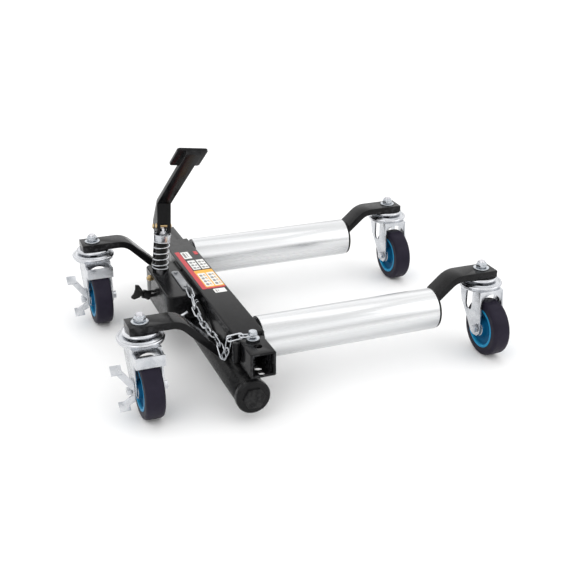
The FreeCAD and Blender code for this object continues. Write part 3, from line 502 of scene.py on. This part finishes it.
boot = [(8.4, 3.0), (10.9, 3.0), (11.1, 4.0)]
for rib in range(BOOT_RIBS):
    start = 5.0 + rib * RIB_PITCH
    boot += [(9.1, start), (9.1, start + 0.8), (10.9, start + 2.0), (10.9, start + 2.7)]
boot += [(9.2, 50.6), (8.4, 50.6)]
bellows = add("boot_ribs", lathe("boot_ribs", eased(boot, 0.5, steps=2), closed=True), "rubber",
              "near_frame", ["dust_boot"], COLUMN)
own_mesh(bellows)

coil = []
coil_steps = SPRING_TURNS * TURN_STEPS
for n in range(int(coil_steps) + 1):
    share = n / coil_steps
    lift = min(max((share * SPRING_TURNS - 0.75) / (SPRING_TURNS - 1.5), 0), 1)
    angle = 2 * math.pi * SPRING_TURNS * share + SPRING_START
    coil.append((SPRING_RADIUS * MM * math.cos(angle), SPRING_RADIUS * MM * math.sin(angle),
                 (SPRING_LOW + lift * SPRING_RISE + share * SPRING_CREEP) * MM))
spring = add("spring_coil", tube("spring_coil", coil, SPRING_WIRE * MM), "zinc", "near_frame",
             ["return_spring"], COLUMN)
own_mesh(spring)

cup = eased([(5.7, 54.6), (8.1, 54.5), (14.5, 54.5), (15.8, 66.0), (15.9, 67.0), (14.8, 67.0),
             (14.0, 64.5), (8.8, 64.5), (8.4, 64.2), (5.7, 64.2)], 0.7, steps=3)
add("cup_turned", lathe("cup_turned", cup, 96, closed=True), "zinc", "plunger",
    ["spring_cup"], COLUMN)
shaft = eased([(0, -31.5), (7.2, -31.5), (8, -30.5), (8, 54.3), (5.55, 55.0), (5.55, 76.5),
               (4.2, 78.6), (0, 78.9)], 0.4, closed=False, steps=2)
add("plunger_ground", lathe("plunger_ground", shaft, 64), "steel", "plunger",
    ["plunger"], COLUMN)

soft_piece("pedal_lever", "paint", 0.7, 3)
soft_piece("pedal_pad", "paint", 1.0, 3)
rivet = [(0, -14.7), (3.0, -14.6), (4.5, -13.9), (4.8, -13.1), (4.8, -12.9), (3.15, -12.85),
         (3.15, 12.85), (4.8, 12.9), (4.8, 13.1), (4.5, 13.9), (3.0, 14.6), (0, 14.7)]
for count, (back, up) in enumerate((FULCRUM, FRONT_PIN)):
    spot = COLUMN @ Matrix.Translation((0, back * MM, up * MM)) @ TO_X
    add("rivet_%d" % count, lathe("rivet_%d" % count, rivet, 48), "brass", "pedal",
        ["pedal_pins"] if count == 0 else (), spot)


# ---------------------------------------------------------------- lock pin, chain and hose

pin_low, pin_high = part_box("lock_pin")
pin_spot = (pin_low + pin_high) / 2
TUBE_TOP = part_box("slide_tube")[1].z
PIN_FOOT = Vector((pin_spot.x, pin_spot.y, 0))
pin = eased([(0, -45.5), (4.2, -45.5), (6.4, -43.5), (6.4, 0.4), (8.7, 0.4), (8.7, 1.7),
             (10.4, 1.8), (11, 2.4), (10.6, 4.3), (3.1, 4.5), (3.0, 9.0), (6.9, 9.1), (7.5, 10.2),
             (6.4, 15.6), (5.2, 16.0), (0, 16.0)], 0.45, closed=False, steps=2)
add("hitch_pin_turned", lathe("hitch_pin_turned", pin, 64), "nut", "hitch_pin",
    ["lock_pin"], Matrix.Translation((pin_spot.x, pin_spot.y, TUBE_TOP)))

# the chain's line from its lug to the pin, in millimetres from the pin's axis and the floor
CHAIN_LINE = [(-41, 215, 121.6), (-41.5, 199, 121), (-42.5, 186, 107), (-43, 166, 99),
              (-43, 142, 96), (-43, 118, 95), (-43, 96, 97), (-42.5, 72, 99.5), (-42, 51, 100),
              (-41, 36, 93), (-40, 27, 79), (-37, 19, 90), (-36, 14, 110), (-34.5, 11, 125.4),
              (-22, 4.5, 125.4), (3, -1, 124.4)]
LINKS = 13
LINK_WIRE, LINK_LONG, LINK_WIDE, LINK_STEPS = 1.35, 13.65, 4.9, 40
FREE_LINK = 9  # from this link on, the links are attached to no body and stay where they are placed


def chain_marks():
    """Points evenly spaced along the chain's line, where one link hands over to the next."""
    line = [PIN_FOOT + Vector(p) * MM for p in CHAIN_LINE]
    lengths = [(b - a).length for a, b in zip(line, line[1:])]
    pitch = sum(lengths) / LINKS
    marks = []
    for count in range(LINKS + 1):
        left = pitch * count
        for a, b, length in zip(line, line[1:], lengths):
            if left <= length + 1e-9:
                marks.append(a.lerp(b, min(left / length, 1)))
                break
            left -= length
        else:
            marks.append(line[-1])
    return marks


def chain_link(count, start, end):
    """One oval link of round wire, lying flat or standing on edge."""
    straight = LINK_LONG - LINK_WIDE
    oval = []
    for n in range(LINK_STEPS):
        angle = 2 * math.pi * n / LINK_STEPS
        side = straight if math.cos(angle) > 0 else -straight
        oval.append((side + LINK_WIDE * math.cos(angle), LINK_WIDE * math.sin(angle), 0))
    along = (end - start).normalized()
    level = Vector((0, 0, 1)).cross(along).normalized()
    turn = Matrix((along, level, along.cross(level))).transposed().to_4x4()
    place = Matrix.Translation((start + end) / 2) @ turn
    if count % 2:
        place = place @ Matrix.Rotation(math.pi / 2, 4, "X")
    points = [Vector(p) * MM for p in oval]
    name = "chain_link_%02d" % count
    body = "near_frame" if count < FREE_LINK else None
    ring = tube(name, points, LINK_WIRE * MM, closed=True, sides=10)
    nodes = ["lock_chain"] if count == 0 else ()
    return add(name, ring, "zinc", body, nodes, place)


marks = chain_marks()
for count, (start, end) in enumerate(zip(marks, marks[1:])):
    link = chain_link(count, start, end)
    if count >= FREE_LINK:
        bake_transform(link)

# the pump hose: its control points in millimetres from the pin's axis and the floor
HOSE_LINE = [(-31.5, 203, 101), (-31.5, 182, 101), (-31.5, 162, 92), (-32.5, 144, 76),
             (-33, 127, 71), (-33, 112, 71)]


HOSE_RADIUS = 3.5


def make_hose():
    """The pump hose: a smooth line through its control points."""
    curve = bpy.data.curves.new("hose_line", "CURVE")
    curve.dimensions = "3D"
    curve.bevel_depth = HOSE_RADIUS * MM
    curve.bevel_resolution = 6
    curve.resolution_u = 16
    spline = curve.splines.new("NURBS")
    spline.points.add(len(HOSE_LINE) - 1)
    for point, spot in zip(spline.points, HOSE_LINE):
        point.co = (*(PIN_FOOT + Vector(spot) * MM), 1)
    spline.order_u = 3
    spline.use_endpoint_u = True
    curve.materials.append(M["rubber"])
    hose = bpy.data.objects.new("hose_line", curve)
    bpy.context.scene.collection.objects.link(hose)
    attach(hose, "near_frame")
    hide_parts("pump_hose")
    REPLACED.add("pump_hose")


make_hose()

ferrule = eased([(3.55, 0), (5.6, 0), (5.6, 3), (4.9, 3.6), (4.9, 9.5), (4.3, 10.5), (3.55, 10.5)],
                0.4, steps=2)
port_spot = (-33, 118, 71)
for name, axis, spot in (("hose_ferrule_pump", (0, -1, 0), HOSE_LINE[0]),
                         ("hose_ferrule_port", (0, 1, 0), port_spot)):
    add(name, lathe(name, ferrule, 48, closed=True), "zinc", "near_frame",
        place=facing((1, 0, 0), axis, PIN_FOOT + Vector(spot) * MM))


# ---------------------------------------------------------------- printed panels on the tube

def slab(bm, x0, y0, x1, y1, low, high, slot, corner=0.0):
    """A flat plate with rounded corners, in millimetres."""
    outline = [(x0, y0, 0), (x1, y0, 0), (x1, y1, 0), (x0, y1, 0)]
    if corner:
        outline = eased(outline, corner, steps=4)
    bottom = [bm.verts.new((x * MM, y * MM, low * MM)) for x, y, _ in outline]
    top = [bm.verts.new((x * MM, y * MM, high * MM)) for x, y, _ in outline]
    faces = [bm.faces.new(top), bm.faces.new(bottom[::-1])]
    for n in range(len(top)):
        m = (n + 1) % len(top)
        faces.append(bm.faces.new((bottom[n], bottom[m], top[m], top[n])))
    for face in faces:
        face.material_index = slot


FILM, AMBER_TOP, PANEL_TOP, MARK_TOP = 0.18, 0.20, 0.30, 0.36
LEFT_COLUMN, RIGHT_COLUMN, COLUMN_WIDTH = 10.5, 27.0, 14


def make_panels():
    """A printed panel on the tube: a red edge, plain pale blocks and an amber block, no words."""
    low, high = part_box("main_tube")
    x0 = high.x / MM - 45.0
    y0 = pin_spot.y / MM + 203
    z = high.z / MM
    bm = bmesh.new()
    RED, WHITE, AMBER, INK = range(4)
    slab(bm, x0, y0, x0 + 8.5, y0 + 182, z, z + FILM, RED, 2.0)
    slab(bm, x0 + 8.5, y0, x0 + 42.5, y0 + 6, z, z + FILM, RED, 2.0)
    slab(bm, x0 + 8.5, y0 + 6, x0 + 42.5, y0 + 84, z, z + AMBER_TOP, AMBER, 2.0)
    for left in (x0 + LEFT_COLUMN, x0 + RIGHT_COLUMN):
        slab(bm, left, y0 + 10, left + COLUMN_WIDTH, y0 + 70, z, z + PANEL_TOP, WHITE, 1.5)
        slab(bm, left, y0 + 89, left + COLUMN_WIDTH, y0 + 134, z, z + PANEL_TOP, WHITE, 1.5)
    slab(bm, x0 + 9.5, y0 + 144, x0 + 24.5, y0 + 178, z, z + PANEL_TOP, WHITE, 1.5)
    slab(bm, x0 + 34.0, y0 + 160, x0 + 41.0, y0 + 176, z, z + PANEL_TOP, RED, 1.0)
    for left in (x0 + LEFT_COLUMN + 2, x0 + RIGHT_COLUMN + 2):
        for row in range(4):
            start = y0 + 14 + row * 13.5
            slab(bm, left, start, left + 5.0, start + 9.0, z, z + MARK_TOP, INK, 1.6)
            slab(bm, left + 6.5, start + 0.5, left + 11.0, start + 3.5, z, z + MARK_TOP, AMBER, 0.8)
            slab(bm, left + 6.5, start + 5.0, left + 10.0, start + 8.5, z, z + MARK_TOP, INK, 0.8)
        for row in range(3):
            start = y0 + 93 + row * 13
            slab(bm, left, start, left + 5.0, start + 8.0, z, z + MARK_TOP, INK, 1.6)
            slab(bm, left + 6.5, start + 1.0, left + 11.0, start + 6.0, z, z + MARK_TOP, INK, 1.0)
    slab(bm, x0 + 12, y0 + 149, x0 + 16, y0 + 173, z, z + MARK_TOP, INK, 1.0)
    slab(bm, x0 + 18.5, y0 + 153, x0 + 20, y0 + 172, z, z + MARK_TOP, INK)
    add("tube_panel", finished(bm, "tube_panel"), ["red", "white", "yellow", "ink"],
        "near_frame")
    bm = bmesh.new()
    slab(bm, x0 + 17, y0 - 21, x0 + 38, y0 - 4, z, z + 0.2, 0, 1.0)
    slab(bm, x0 + 20, y0 - 18, x0 + 22, y0 - 8, z, z + 0.3, 1)
    slab(bm, x0 + 24, y0 - 17, x0 + 25.2, y0 - 9, z, z + 0.3, 1)
    add("small_panel", finished(bm, "small_panel"), ["white", "ink"], "near_frame")


make_panels()


# ---------------------------------------------------------------- weld beads

BEAD_RADIUS, BEAD_STEP, BEAD_RIPPLE = 1.6, 0.0009, 0.22


def bead(name, points, radius=BEAD_RADIUS):
    """A painted weld: a rippled seam along a line of points in metres."""
    points = [Vector(p) for p in points]
    dense = []
    for a, b in zip(points, points[1:]):
        steps = max(int((b - a).length / BEAD_STEP), 1)
        dense += [a.lerp(b, n / steps) for n in range(steps)]
    dense.append(points[-1])
    seam = tube(name, dense, radius * MM, sides=10, ripple=BEAD_RIPPLE, waves=len(dense) // 4)
    add(name, seam, "paint", "near_frame")


def make_beads():
    """The seams where the socket and the pump housing meet the main tube."""
    low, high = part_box("main_tube")
    inner_low, inner_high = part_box("slide_tube")
    y = low.y - 0.0002
    bead("bead_socket_top", [(inner_low.x + 0.003, y, inner_high.z + 0.0004),
                             (inner_high.x - 0.003, y, inner_high.z + 0.0004)])
    bead("bead_socket_left", [(inner_low.x - 0.0004, y, inner_high.z - 0.003),
                              (inner_low.x - 0.0004, y, inner_low.z + 0.003)])
    bead("bead_socket_right", [(inner_high.x + 0.0004, y, inner_high.z - 0.003),
                               (inner_high.x + 0.0004, y, inner_low.z + 0.003)])
    house_low, house_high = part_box("pump_housing")
    bead("bead_housing", [(low.x - 0.0004, house_low.y + 0.112, house_high.z + 0.0003),
                          (low.x - 0.0004, house_high.y - 0.004, house_high.z + 0.0003)], 1.4)


make_beads()


# ---------------------------------------------------------------- everything else

for node in ("main_tube", "socket_tube", "slide_tube", "arm_near_left", "arm_near_right",
             "arm_far_left", "arm_far_right"):
    soft_piece(node, width=0.8, segments=3)
for node in ("roller_plate_near", "far_yoke", "pump_housing", "fulcrum_post", "hose_port",
             "cylinder_cap", "slide_end_plate", "filler_screw", "relief_stub",
             "cylinder_gland", "roller_axle_near", "roller_axle_far"):
    soft_piece(node, width=0.5, segments=2)
soft_piece("chain_anchor", "dull", 0.5, 2)
soft_piece("release_knob", "plastic", 0.5, 3)
soft_piece("cylinder_barrel", "satin", 0.4, 2)

for node, thing in frame["nodes"].items():
    if node not in REPLACED:
        thing.data.materials.clear()
        thing.data.materials.append(M[SLOT_MATERIAL[SLOT_OF[node]]])


# ---------------------------------------------------------------- studio

SKY_HORIZON, SKY_PEAK, SKY_ZENITH = 0.34, 1.0, 0.62
SKY_PEAK_HEIGHT, SKY_STRENGTH = 0.40, 1.45


def area_light(name, size, energy, spot, target):
    """A soft rectangular light, turned to face its target."""
    data = bpy.data.lights.new(name, "AREA")
    data.shape = "RECTANGLE"
    data.size, data.size_y = size
    data.energy = energy
    light = bpy.data.objects.new(name, data)
    bpy.context.scene.collection.objects.link(light)
    light.location = spot
    light.rotation_euler = (Vector(target) - Vector(spot)).to_track_quat("-Z", "Y").to_euler()


def make_studio():
    """A pale floor, a sky brightest a little above the horizon, and three weak soft lights."""
    bm = bmesh.new()
    bmesh.ops.create_grid(bm, x_segments=1, y_segments=1, size=14)
    mesh = bpy.data.meshes.new("floor")
    bm.to_mesh(mesh)
    bm.free()
    mesh.materials.append(M["floor"])
    floor = bpy.data.objects.new("floor", mesh)
    floor.location = (0, 0, -0.0003)
    bpy.context.scene.collection.objects.link(floor)
    world = bpy.data.worlds.new("studio")
    world.use_nodes = True
    nodes, links = world.node_tree.nodes, world.node_tree.links
    split = nodes.new("ShaderNodeSeparateXYZ")
    links.new(nodes.new("ShaderNodeTexCoord").outputs["Generated"], split.inputs[0])
    # dim at the horizon, brightest a little above it, so that bright metal has something to show
    sky = ramp(nodes, links, split.outputs["Z"], SKY_HORIZON, SKY_PEAK, 0.0, SKY_PEAK_HEIGHT)
    zenith = sky.node.color_ramp.elements.new(1.0)
    zenith.color = (SKY_ZENITH, SKY_ZENITH, SKY_ZENITH, 1)
    links.new(sky, nodes["Background"].inputs["Color"])
    nodes["Background"].inputs["Strength"].default_value = SKY_STRENGTH
    bpy.context.scene.world = world
    area_light("key", (1.6, 1.6), 9, (-1.7, -1.4, 2.2), (0, 0, 0.1))
    area_light("top", (2.4, 1.2), 5, (0.3, 0.4, 2.4), (0, 0, 0))
    area_light("fill", (1.2, 2.0), 5, (1.9, -1.2, 1.2), (0, 0, 0.1))
    bpy.context.scene.view_settings.view_transform = "Standard"


make_studio()
